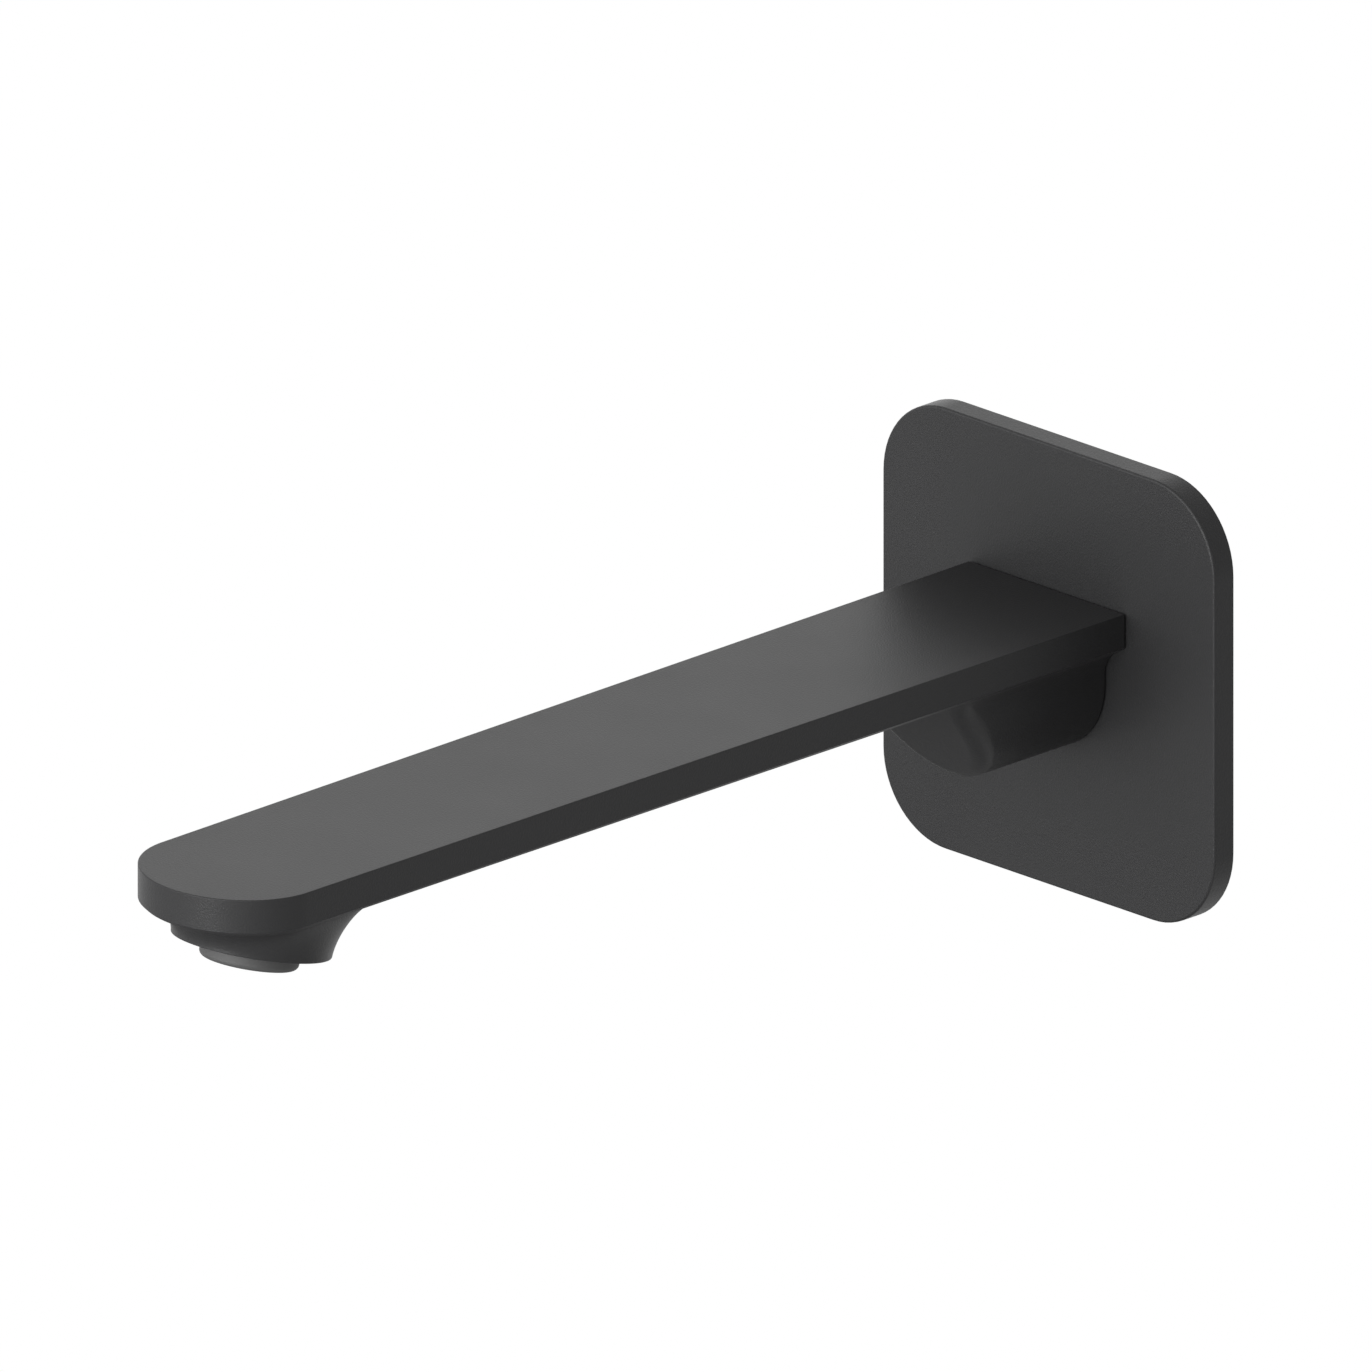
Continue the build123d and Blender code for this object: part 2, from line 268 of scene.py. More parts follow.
class BathSpoutPlate(bpy.types.PropertyGroup):
    """Sizes of the cover plate that the frame's boxes don't give."""

    corner: FloatProperty(
        name="Corner radius", description="Of the plate's outline", default=15.0 * MM, unit="LENGTH"
    )
    wall: FloatProperty(name="Wall", description="Of the hollow plate", default=1.6 * MM, unit="LENGTH")
    edge_round: FloatProperty(
        name="Front edge", description="Radius of the front edge", default=0.45 * MM, unit="LENGTH"
    )
    hub_wall: FloatProperty(
        name="Hub wall", description="Round the spigot", default=2.4 * MM, unit="LENGTH"
    )
    bore_clearance: FloatProperty(
        name="Bore clearance", description="Between hub and spigot", default=0.3 * MM, unit="LENGTH"
    )


class BathSpoutFinish(bpy.types.PropertyGroup):
    """Colours and surface of the finishes."""

    coat: FloatVectorProperty(
        name="Coat", description="Matte coat of body and plate",
        subtype="COLOR", default=(0.0235, 0.0235, 0.0242), max=1,
    )
    coat_roughness: FloatProperty(
        name="Coat roughness", description="Of the matte coat", default=0.43, min=0, max=1
    )
    coat_grain: FloatProperty(
        name="Coat grain", description="Width of one dimple in the coat",
        default=0.35 * MM, unit="LENGTH",
    )
    sleeve: FloatVectorProperty(
        name="Sleeve", description="Grey plastic of the aerator",
        subtype="COLOR", default=(0.05, 0.05, 0.05), max=1,
    )
    insert: FloatVectorProperty(
        name="Insert", description="Pale plastic inside it",
        subtype="COLOR", default=(0.5, 0.5, 0.49), max=1,
    )
    brass: FloatVectorProperty(
        name="Brass", description="Bare metal of the thread",
        subtype="COLOR", default=(0.55, 0.4, 0.19), max=1,
    )
    rubber: FloatVectorProperty(
        name="Rubber", description="Seals and washer",
        subtype="COLOR", default=(0.02, 0.02, 0.02), max=1,
    )
    foam: FloatVectorProperty(
        name="Foam", description="Strip behind the plate",
        subtype="COLOR", default=(0.035, 0.035, 0.036), max=1,
    )


class BathSpoutStage(bpy.types.PropertyGroup):
    """Camera, floor and light."""

    azimuth: FloatProperty(
        name="Azimuth", description="Camera's turn to the right of the front",
        default=math.radians(45), subtype="ANGLE",
    )
    elevation: FloatProperty(
        name="Elevation", description="Camera's rise above the horizon",
        default=math.radians(20.13), subtype="ANGLE",
    )
    view_width: FloatProperty(
        name="View width", description="Width that the picture takes in",
        default=233.7 * MM, unit="LENGTH",
    )
    plate_right: FloatProperty(
        name="Plate to the right", description="Of the picture's middle",
        default=61.72 * MM, unit="LENGTH",
    )
    plate_up: FloatProperty(
        name="Plate above", description="The picture's middle", default=3.68 * MM, unit="LENGTH"
    )
    floor_drop: FloatProperty(
        name="Floor drop", description="Floor below the cover plate's middle",
        default=0.5, unit="LENGTH",
    )
    floor_tone: FloatVectorProperty(
        name="Floor tone", description="Pale floor under the object",
        subtype="COLOR", default=(0.5, 0.5, 0.5), max=1,
    )
    lit_middle: FloatVectorProperty(
        name="Middle of the lit floor", description="Under the front left of the object",
        subtype="TRANSLATION", default=(-0.45, -0.15, 0), unit="LENGTH",
    )
    lit_floor: FloatProperty(
        name="Lit floor", description="Radius of the floor that takes the shadow",
        default=0.48, unit="LENGTH",
    )
    white_floor: FloatProperty(
        name="White floor", description="Radius from which the floor is plain white",
        default=0.75, unit="LENGTH",
    )
    lamp_distance: FloatProperty(
        name="Lamp distance", description="From the object's middle", default=3.0, unit="LENGTH"
    )
    ambient: FloatProperty(
        name="Ambient", description="Even light from all round", default=0.01, min=0, max=1
    )


GROUPS = {
    "bath_spout_arm": BathSpoutArm,
    "bath_spout_inlet": BathSpoutInlet,
    "bath_spout_outlet": BathSpoutOutlet,
    "bath_spout_plate": BathSpoutPlate,
    "bath_spout_finish": BathSpoutFinish,
    "bath_spout_stage": BathSpoutStage,
}


# Shapes


def arc(centre, radius, start, end, steps=EDGE_STEPS):
    """Points (across, along) of an arc in a flat profile, between two angles in degrees."""
    angles = [math.radians(start + (end - start) * i / steps) for i in range(steps + 1)]
    return [(centre[0] + radius * math.cos(a), centre[1] + radius * math.sin(a)) for a in angles]


def skin(place, across, along):
    """A closed skin: a grid laid round an outline, with its ends filled.

    place(column, row) puts each point.
    """
    bm = bmesh.new()
    bmesh.ops.create_grid(bm, x_segments=across, y_segments=along, size=1.0)
    for vert in bm.verts:
        column = round((vert.co.x + 1) / 2 * across)
        row = round((vert.co.y + 1) / 2 * along)
        vert.co = place(column, row)
    bmesh.ops.remove_doubles(bm, verts=bm.verts, dist=SEAM)
    bmesh.ops.holes_fill(bm, edges=bm.edges, sides=0)
    bmesh.ops.recalc_face_normals(bm, faces=bm.faces)
    return bm


def turned(profile, axis, steps=ROUND_STEPS):
    """A closed turned solid from (radius, height) points. axis places its Z axis in the frame."""
    bm = bmesh.new()
    verts = [bm.verts.new((radius, 0, height)) for radius, height in profile]
    edges = [bm.edges.new(pair) for pair in zip(verts, verts[1:])]
    bmesh.ops.spin(
        bm, geom=verts + edges, cent=(0, 0, 0), axis=(0, 0, 1),
        angle=math.tau, steps=steps, use_merge=True,
    )
    bmesh.ops.remove_doubles(bm, verts=bm.verts, dist=SEAM)
    bmesh.ops.holes_fill(bm, edges=bm.edges, sides=0)
    bmesh.ops.recalc_face_normals(bm, faces=bm.faces)
    bmesh.ops.transform(bm, matrix=axis, verts=bm.verts)
    return bm


def disc(radius, start, end, axis):
    """A plain round solid between two heights on an axis."""
    return turned([(0, start), (radius, start), (radius, end), (0, end)], axis)


def block(low, high, corner):
    """An upright block with rounded corners."""
    bm = bmesh.new()
    bmesh.ops.create_cube(bm, size=1.0)
    size = Vector(high) - Vector(low)
    middle = (Vector(high) + Vector(low)) / 2
    placed = Matrix.Translation(middle) @ Matrix.Diagonal((*size, 1))
    bmesh.ops.transform(bm, matrix=placed, verts=bm.verts)
    upright = [e for e in bm.edges if abs(e.verts[0].co.z - e.verts[1].co.z) > SEAM]
    bmesh.ops.bevel(
        bm, geom=upright, offset=corner, offset_type="OFFSET", segments=EDGE_STEPS, profile=0.5,
        affect="EDGES", material=-1,
    )
    return bm


def as_object(name, bm):
    mesh = bpy.data.meshes.new(name)
    bm.to_mesh(mesh)
    bm.free()
    made = bpy.data.objects.new(name, mesh)
    bpy.context.scene.collection.objects.link(made)
    return made


def joined(base, steps):
    """The mesh of a solid after adding ("UNION") and cutting ("DIFFERENCE") others in turn."""
    made = as_object("work", base)
    for operation, bm in steps:
        other = as_object("other", bm)
        modifier = made.modifiers.new("step", "BOOLEAN")
        modifier.operation = operation
        modifier.solver = "EXACT"
        modifier.object = other
        shaped = bpy.data.meshes.new_from_object(
            made.evaluated_get(bpy.context.evaluated_depsgraph_get())
        )
        made.modifiers.clear()
        made.data = shaped
        bpy.data.objects.remove(other)
    bm = bmesh.new()
    bm.from_mesh(made.data)
    bmesh.ops.dissolve_degenerate(bm, dist=SEAM, edges=bm.edges)
    bpy.data.objects.remove(made)
    return bm


def finished_piece(name, bm, material, node=None, crease=30):
    """Shades a piece, puts it on the body, and hides the piece of the frame that it stands for."""
    made = as_object(name, bm)
    made.data.materials.clear()
    made.data.materials.append(material)
    made.data.polygons.foreach_set("material_index", [0] * len(made.data.polygons))
    made.data.shade_smooth()
    made.data.set_sharp_from_angle(angle=math.radians(crease))
    weighted = made.modifiers.new("even_shading", "WEIGHTED_NORMAL")
    weighted.keep_sharp = True
    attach(made, "root")
    if node:
        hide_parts(node)
    return made


# Places

INLET_AXIS = Matrix.Rotation(math.radians(90), 4, "X")


def outlet_axis(outlet):
    """The outlet's tilted axis, with its origin at the middle of the lip."""
    place = Matrix.Translation((0, -outlet.reach, outlet.lip_height))
    return place @ Matrix.Rotation(-outlet.tilt, 4, "X")


def arm_taper(arm):
    """How much the arm's half width loses per length."""
    straight = ARM_REACH - arm.tip_length - PLATE_DEPTH - arm.joint_line
    return (ARM_HALF_WIDTH - arm.half_width_tip) / straight


# Body


def arm_bar(arm):
    """The flat arm: straight tapering sides and half an ellipse, beveled below and softened above."""
    rear = PLATE_DEPTH + arm.joint_line
    centre = ARM_REACH - arm.tip_length
    outline = [(ARM_HALF_WIDTH, -rear, 1, 0)]
    for i in range(TIP_STEPS + 1):
        angle = math.pi * i / TIP_STEPS
        across, along = math.cos(angle), math.sin(angle)
        lean = Vector((across / arm.half_width_tip, -along / arm.tip_length)).normalized()
        outline.append((arm.half_width_tip * across, -centre - arm.tip_length * along, *lean))
    outline.append((-ARM_HALF_WIDTH, -rear, -1, 0))
    low = ARM_TOP - arm.thickness
    profile = [(-arm.bevel, low), (0, low + arm.bevel)]
    profile += arc((-arm.edge_round, ARM_TOP - arm.edge_round), arm.edge_round, 0, 90)

    def place(column, row):
        x, y, out_x, out_y = outline[column % len(outline)]
        offset, z = profile[row]
        return Vector((x + offset * out_x, y + offset * out_y, z))

    return skin(place, len(outline), len(profile) - 1)


def inlet_boss(arm, inlet):
    """The U section that flares into the arm's underside, with a slanted and rounded nose."""
    rear = PLATE_DEPTH + arm.joint_line
    low = ARM_TOP - arm.thickness
    foot = ARM_HALF_WIDTH - arm_taper(arm) * (inlet.nose_reach - rear) - arm.bevel
    centre = BOSS_RADIUS + inlet.flare_radius
    short = max(0.0, centre - foot)
    start = low - math.sqrt(inlet.flare_radius**2 - short**2)
    sweep = math.degrees(math.acos(short / inlet.flare_radius))
    ledge = low + inlet.nose_round

    def with_normals(points, middle, sign):
        return [(x, z, sign * (x - middle[0]), sign * (z - middle[1])) for x, z in points]

    half = with_normals(arc((0, 0), BOSS_RADIUS, -90, 0, TIP_STEPS // 4), (0, 0), 1)
    flare = arc((centre, start), inlet.flare_radius, 180, 180 - sweep, CORNER_STEPS)
    half += with_normals(flare, (centre, start), -1)
    half.append((foot, ledge, 0, 0))
    other = [(-x, z, -out_x, out_z) for x, z, out_x, out_z in reversed(half[1:])]
    outline = half + other
    slant = Vector((0, -math.cos(inlet.nose_lean), -math.sin(inlet.nose_lean)))

    def place(column, row):
        x, z, out_x, out_z = outline[column % len(outline)]
        if row == 0:
            return Vector((x, -rear, z))
        out = Vector((out_x, 0, out_z)).normalized()
        radius = inlet.nose_round * out.length
        middle = Vector((x, 0, z)) - radius * out
        nose_y = -inlet.nose_reach - middle.z * math.tan(inlet.nose_lean)
        middle.y = nose_y + radius / math.cos(inlet.nose_lean)
        if radius:
            middle += radius * out.slerp(slant, (row - 1) / CORNER_STEPS)
        return middle

    return skin(place, len(outline), CORNER_STEPS + 1)


def flare_reach(angle, arm, outlet):
    """How far the flare's foot lies from the outlet's axis in one plan direction."""
    across, along = abs(math.cos(angle)), math.sin(angle)
    half_width = arm.half_width_tip - arm.bevel
    tip_depth = arm.tip_length - arm.bevel
    low = ARM_TOP - arm.thickness
    lean = (low - outlet.lip_height) * math.tan(outlet.tilt)
    ahead = ARM_REACH - arm.tip_length - outlet.reach + lean
    taper = arm_taper(arm)
    slope = across + taper * along
    edge = (half_width + taper * ahead) / slope if slope > 0 else math.inf
    if edge * along > ahead:
        a = (across / half_width) ** 2 + (along / tip_depth) ** 2
        b = -2 * along * ahead / tip_depth**2
        c = (ahead / tip_depth) ** 2 - 1
        edge = (-b + math.sqrt(b * b - 4 * a * c)) / (2 * a)
    ratio = outlet.foot_radius / edge
    return outlet.foot_radius / (1 + ratio**outlet.corner_sharpness) ** (1 / outlet.corner_sharpness)


def flare_curve(bend, outlet):
    """The hollow profile of the flare, close to a quarter of an ellipse."""
    return 1 - (1 - bend**outlet.fullness) ** (1 / outlet.fullness)


def outlet_boss(arm, outlet):
    """The tilted outlet, whose wall flares out to the arm's own outline."""
    low = ARM_TOP - arm.thickness
    levels = 2 * CORNER_STEPS
    rounding = arc((-outlet.lip_round, outlet.lip_round), outlet.lip_round, -90, 0)
    axis = outlet_axis(outlet)
    out_of = axis.to_3x3() @ Vector((0, 0, 1))

    def on_flare(angle, share):
        across, along = math.cos(angle), math.sin(angle)
        start_z = outlet.lip_height + outlet.lip_radius * along * math.sin(outlet.tilt)
        start_reach = outlet.reach + outlet.lip_radius * along * math.cos(outlet.tilt)
        rise = low - start_z
        spread = flare_curve(outlet.top_share * share, outlet) / flare_curve(outlet.top_share, outlet)
        foot = flare_reach(angle, arm, outlet)
        foot_axis = outlet.reach - (low - outlet.lip_height) * math.tan(outlet.tilt)
        gap_across = (foot - outlet.lip_radius) * across
        gap_along = foot_axis + foot * along - (start_reach - rise * math.tan(outlet.tilt))
        x = outlet.lip_radius * across + gap_across * spread
        reach = start_reach - rise * share * math.tan(outlet.tilt) + gap_along * spread
        return Vector((x, -reach, start_z + rise * share))

    def place(column, row):
        angle = math.tau * column / ROUND_STEPS
        if row < EDGE_STEPS:
            inward, up = rounding[row]
            out = Vector((math.cos(angle), -math.sin(angle), 0))
            flat = axis.to_3x3() @ out
            lip = axis.translation + (outlet.lip_radius + inward) * flat
            return lip + up * out_of
        if row > EDGE_STEPS + levels:
            return on_flare(angle, 1.0) + Vector((0, 0, arm.channel_wall))
        share = (row - EDGE_STEPS) / levels
        first = outlet.lip_round / (low - outlet.lip_height)
        return on_flare(angle, first + (1 - first) * math.sin(math.pi / 2 * share))

    return skin(place, ROUND_STEPS, EDGE_STEPS + levels + 1)


def spigot(arm, inlet):
    """The round end that the cover plate sits on, with the groove for its ring."""
    radius = inlet.thread_radius + inlet.spigot_wall
    floor = radius - inlet.groove_depth
    groove_end = inlet.groove_reach + inlet.groove_width
    end = PLATE_DEPTH + arm.joint_line + inlet.spigot_wall
    profile = [
        (0, SPIGOT_REACH),
        (radius, SPIGOT_REACH),
        (radius, inlet.groove_reach),
        (floor, inlet.groove_reach),
        (floor, groove_end),
        (radius, groove_end),
        (radius, end),
        (0, end),
    ]
    return turned(profile, INLET_AXIS)


def socket(inlet):
    """What is cut away for the nipple: mouth, thread, run-out and the chamber behind."""
    mouth_bevel = inlet.thread_start - SPIGOT_REACH
    thread_end = inlet.thread_start + inlet.thread_length
    floor = thread_end + inlet.relief_length
    relief = inlet.thread_radius + inlet.relief_depth
    profile = [
        (0, SPIGOT_REACH - mouth_bevel),
        (inlet.thread_radius + 2 * mouth_bevel, SPIGOT_REACH - mouth_bevel),
        (inlet.thread_radius, inlet.thread_start),
        (inlet.thread_radius, thread_end),
        (relief, thread_end),
        (relief, floor),
        (inlet.chamber_radius, floor),
        (inlet.chamber_radius, floor + inlet.chamber_length),
        (0, floor + inlet.chamber_length),
    ]
    return turned(profile, INLET_AXIS)


def outlet_seat(arm, outlet):
    """What is cut away for the aerator, with the narrower hole up to the waterway."""
    roof = ARM_TOP - arm.channel_wall
    rise = (roof - outlet.lip_height) / math.cos(outlet.tilt)
    top = rise - outlet.throat_radius * math.sin(outlet.tilt)
    profile = [
        (0, -outlet.lip_round),
        (outlet.bore_radius, -outlet.lip_round),
        (outlet.bore_radius, outlet.bore_depth),
        (outlet.throat_radius, outlet.bore_depth),
        (outlet.throat_radius, top),
        (0, top),
    ]
    return turned(profile, outlet_axis(outlet))


def waterway(arm, inlet, outlet):
    """All that is cut out of the body: socket, riser, flat channel with a round end, aerator's seat."""
    low = ARM_TOP - arm.thickness + arm.channel_wall
    roof = ARM_TOP - arm.channel_wall
    rear = inlet.thread_start + inlet.thread_length + inlet.relief_length
    front = ARM_REACH - arm.channel_end_gap - arm.channel_half_width
    corner, wide, narrow = arm.channel_corner, arm.channel_half_width, arm.riser_half_width
    channel = block((-wide, -front - corner, low), (wide, -rear, roof), corner)
    riser_end = rear + inlet.chamber_length
    riser = block((-narrow, -riser_end, 0), (narrow, -rear - corner, (low + roof) / 2), corner)
    round_end = disc(wide, low, roof, Matrix.Translation((0, -front, 0)))
    others = [round_end, riser, socket(inlet), outlet_seat(arm, outlet)]
    return joined(channel, [("UNION", other) for other in others])


class BATHSPOUT_OT_body(bpy.types.Operator):
    """Makes the coated body: arm, bosses and spigot, bored for inlet, waterway and aerator"""

    bl_idname = "bathspout.body"
    bl_label = "Body"

    def execute(self, context):
        scene = context.scene
        arm, inlet, outlet = scene.bath_spout_arm, scene.bath_spout_inlet, scene.bath_spout_outlet
        steps = [
            ("UNION", inlet_boss(arm, inlet)),
            ("UNION", outlet_boss(arm, outlet)),
            ("UNION", spigot(arm, inlet)),
            ("DIFFERENCE", waterway(arm, inlet, outlet)),
        ]
        body = joined(arm_bar(arm), steps)
        coat = coated_metal(scene.bath_spout_finish)
        finished_piece("body_skin", body, coat, "spout_body")
        return {"FINISHED"}


def cover_plate(plate, inlet):
    """The hollow backed cover plate with its rounded front edge and its hub."""
    half = PLATE_SIZE / 2
    centre = half - plate.corner
    outline = []
    for turn in range(4):
        angle = 90 * turn
        sign_x = 1 if turn in (0, 3) else -1
        sign_z = 1 if turn in (0, 1) else -1
        corner = arc((sign_x * centre, sign_z * centre), plate.corner, angle, angle + 90, CORNER_STEPS)
        outline += [(x, z, x - sign_x * centre, z - sign_z * centre) for x, z in corner]
    front = arc((-plate.edge_round, PLATE_DEPTH - plate.edge_round), plate.edge_round, 0, 90)
    hollow_depth = PLATE_DEPTH - plate.wall

    def around(profile):
        def place(column, row):
            x, z, out_x, out_z = outline[column % len(outline)]
            offset, reach = profile[row]
            share = offset / plate.corner
            return Vector((x + out_x * share, -reach, z + out_z * share))

        return skin(place, len(outline), len(profile) - 1)

    hub_radius = inlet.thread_radius + inlet.spigot_wall + plate.bore_clearance
    hub = disc(hub_radius + plate.hub_wall, SPIGOT_REACH, hollow_depth + plate.wall / 2, INLET_AXIS)
    steps = [
        ("DIFFERENCE", around([(-plate.wall, -plate.wall), (-plate.wall, hollow_depth)])),
        ("UNION", hub),
        ("DIFFERENCE", disc(hub_radius, -plate.wall, PLATE_DEPTH + plate.wall, INLET_AXIS)),
    ]
    return joined(around([(0, 0)] + front), steps)


class BATHSPOUT_OT_cover_plate(bpy.types.Operator):
    """Makes the coated cover plate"""

    bl_idname = "bathspout.cover_plate"
    bl_label = "Cover plate"

    def execute(self, context):
        scene = context.scene
        plate = cover_plate(scene.bath_spout_plate, scene.bath_spout_inlet)
        coat = coated_metal(scene.bath_spout_finish)
        finished_piece("plate_skin", plate, coat, "wall_plate")
        return {"FINISHED"}


def thread_ridge(inlet):
    """One helical ridge of the pipe thread, a little rounded at its crest, tapering out at both ends."""
    turns = inlet.thread_length / inlet.thread_pitch - 1
    steps = round(turns * THREAD_STEPS)
    depth = inlet.thread_radius - inlet.thread_crest
    root, crest = inlet.thread_pitch * HALF_ROOT, inlet.thread_pitch * HALF_CREST
    half = [(-root, 0.0), (-crest, SHOULDER_HEIGHT)]
    section = [*half, (0.0, 1.0), (crest, SHOULDER_HEIGHT), (root, 0.0)]
    first = inlet.thread_start + inlet.thread_pitch / 2

    def place(column, row):
        shift, height = section[column % len(section)]
        angle = math.tau * turns * row / steps
        grown = min(1.0, row / THREAD_END_STEPS, (steps - row) / THREAD_END_STEPS)
        radius = inlet.thread_radius - depth * height * (END_HEIGHT + (1 - END_HEIGHT) * grown)
        reach = first + inlet.thread_pitch * angle / math.tau + shift
        return Vector((radius * math.cos(angle), -reach, radius * math.sin(angle)))

    return skin(place, len(section), steps)


class BATHSPOUT_OT_inlet_thread(bpy.types.Operator):
    """Cuts the bare thread into the inlet socket"""

    bl_idname = "bathspout.inlet_thread"
    bl_label = "Inlet thread"

    def execute(self, context):
        scene = context.scene
        brass = bare_brass(scene.bath_spout_finish)
        finished_piece("inlet_thread", thread_ridge(scene.bath_spout_inlet), brass)
        return {"FINISHED"}


def aerator_sleeve(outlet):
    """The grey sleeve, with its rounded lower edge and the step that holds the insert."""
    thread = outlet.bore_radius - outlet.clearance
    bore = outlet.face_radius - outlet.wall
    mouth = bore - outlet.retainer
    low = -outlet.stand_out
    step = low + outlet.retainer_height
    height = outlet.bore_depth - outlet.seal_room
    edge_centre = (outlet.face_radius - outlet.face_round, low + outlet.face_round)
    edge = arc(edge_centre, outlet.face_round, -90, 0, FACE_STEPS)
    profile = [(mouth, step), (mouth, low)] + edge
    profile += [(outlet.face_radius, outlet.lip_round), (thread, outlet.lip_round)]
    profile += [(thread, height), (bore, height), (bore, step), (mouth, step)]
    return turned(profile, outlet_axis(outlet))


class BATHSPOUT_OT_aerator(bpy.types.Operator):
    """Makes the aerator's sleeve and finishes the insert inside it"""

    bl_idname = "bathspout.aerator"
    bl_label = "Aerator"

    def execute(self, context):
        scene = context.scene
        finish = scene.bath_spout_finish
        sleeve = moulded_plastic("grey_sleeve", finish.sleeve)
        insert = moulded_plastic("pale_insert", finish.insert)
        grid = moulded_plastic("grey_honeycomb", finish.sleeve)
        shape = aerator_sleeve(scene.bath_spout_outlet)
        finished_piece("aerator_sleeve", shape, sleeve, "aerator_housing")
        finish_node("stream_grid", grid)
        for name in ("mixing_ring", "jet_plate", "filter_dome"):
            finish_node(name, insert)
        return {"FINISHED"}


class BATHSPOUT_OT_seals(bpy.types.Operator):
    """Finishes the rubber ring, the washer, the seal and the foam strip"""

    bl_idname = "bathspout.seals"
    bl_label = "Seals"

    def execute(self, context):
        finish = context.scene.bath_spout_finish
        rubber = black_rubber(finish)
        for name in ("plate_ring", "inlet_washer", "outlet_seal"):
            finish_node(name, rubber)
        finish_node("plate_gasket", foam_strip(finish))
        return {"FINISHED"}


# Finishes


def finish_node(name, material):
    """Gives a piece of the frame its finish. Its mesh stays as it is."""
    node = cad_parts[name]
    node.data.materials.clear()
    node.data.materials.append(material)


def node_group(name, inputs, outputs):
    """An empty shader group with named sockets. inputs and outputs are (name, socket type, default)."""
    group = bpy.data.node_groups.new(name, "ShaderNodeTree")
    for label, kind, default in inputs:
        socket = group.interface.new_socket(name=label, in_out="INPUT", socket_type=kind)
        if default is not None:
            socket.default_value = default
    for label, kind in outputs:
        group.interface.new_socket(name=label, in_out="OUTPUT", socket_type=kind)
    start = group.nodes.new("NodeGroupInput")
    end = group.nodes.new("NodeGroupOutput")
    return group, start, end


def dimpled_surface():
    """Shared effect: fine dimples, and a faint slow change of tone and roughness."""
    known = bpy.data.node_groups.get("dimpled_surface")
    if known:
        return known
    inputs = [
        ("Vector", "NodeSocketVector", None),
        ("Colour", "NodeSocketColor", (0.5, 0.5, 0.5, 1)),
        ("Tone change", "NodeSocketFloat", 0.05),
        ("Roughness", "NodeSocketFloat", 0.5),
        ("Roughness change", "NodeSocketFloat", 0.05),
        ("Dimple width", "NodeSocketFloat", 0.35 * MM),
        ("Patch width", "NodeSocketFloat", 20 * MM),
    ]
    outputs = [
        ("Colour", "NodeSocketColor"),
        ("Roughness", "NodeSocketFloat"),
        ("Height", "NodeSocketFloat"),
    ]
    group, start, end = node_group("dimpled_surface", inputs, outputs)
    nodes, link = group.nodes, group.links.new

    def noise(width, detail):
        scale = nodes.new("ShaderNodeMath")
        scale.operation = "DIVIDE"
        scale.inputs[0].default_value = 1.0
        link(start.outputs[width], scale.inputs[1])
        made = nodes.new("ShaderNodeTexNoise")
        made.inputs["Detail"].default_value = detail
        link(start.outputs["Vector"], made.inputs["Vector"])
        link(scale.outputs[0], made.inputs["Scale"])
        return made

    def swing(source, amount, middle):
        """middle + amount * (source - 0.5)"""
        centred = nodes.new("ShaderNodeMath")
        centred.operation = "SUBTRACT"
        centred.inputs[1].default_value = 0.5
        link(source, centred.inputs[0])
        scaled = nodes.new("ShaderNodeMath")
        scaled.operation = "MULTIPLY_ADD"
        link(centred.outputs[0], scaled.inputs[0])
        link(amount, scaled.inputs[1])
        if isinstance(middle, float):
            scaled.inputs[2].default_value = middle
        else:
            link(middle, scaled.inputs[2])
        return scaled.outputs[0]

    dimples = noise("Dimple width", detail=2.0)
    patches = noise("Patch width", detail=3.0)
    tone = swing(patches.outputs["Fac"], start.outputs["Tone change"], 1.0)
    toned = nodes.new("ShaderNodeVectorMath")
    toned.operation = "SCALE"
    link(start.outputs["Colour"], toned.inputs[0])
    link(tone, toned.inputs["Scale"])
    link(toned.outputs[0], end.inputs["Colour"])
    link(
        swing(patches.outputs["Fac"], start.outputs["Roughness change"], start.outputs["Roughness"]),
        end.inputs["Roughness"],
    )
    link(dimples.outputs["Fac"], end.inputs["Height"])
    return group


def surface(
    name, colour, roughness, dimple, height,
    ior=1.5, metallic=0.0, tone_change=0.06, roughness_change=0.05, patch=20 * MM,
):
    """A material whose colour, roughness and relief come from the dimpled surface."""
    known = bpy.data.materials.get(name)
    if known:
        return known
    material = bpy.data.materials.new(name)
    material.use_nodes = True
    nodes, link = material.node_tree.nodes, material.node_tree.links.new
    shader = nodes["Principled BSDF"]
    shader.inputs["IOR"].default_value = ior
    shader.inputs["Metallic"].default_value = metallic
    place = nodes.new("ShaderNodeTexCoord")
    effect = nodes.new("ShaderNodeGroup")
    effect.node_tree = dimpled_surface()
    effect.inputs["Colour"].default_value = (*colour, 1)
    effect.inputs["Tone change"].default_value = tone_change
    effect.inputs["Roughness"].default_value = roughness
    effect.inputs["Roughness change"].default_value = roughness_change
    effect.inputs["Dimple width"].default_value = dimple
    effect.inputs["Patch width"].default_value = patch
    link(place.outputs["Object"], effect.inputs["Vector"])
    relief = nodes.new("ShaderNodeBump")
    relief.inputs["Distance"].default_value = height
    relief.inputs["Strength"].default_value = 1.0
    link(effect.outputs["Height"], relief.inputs["Height"])
    link(effect.outputs["Colour"], shader.inputs["Base Color"])
    link(effect.outputs["Roughness"], shader.inputs["Roughness"])
    link(relief.outputs["Normal"], shader.inputs["Normal"])
    return material


def coated_metal(finish):
    """The matte coat: nearly black, finely dimpled, with a soft shine."""
    return surface(
        "matte_coat", finish.coat, finish.coat_roughness, finish.coat_grain,
        height=0.05 * MM, ior=1.31, tone_change=0.1,
    )


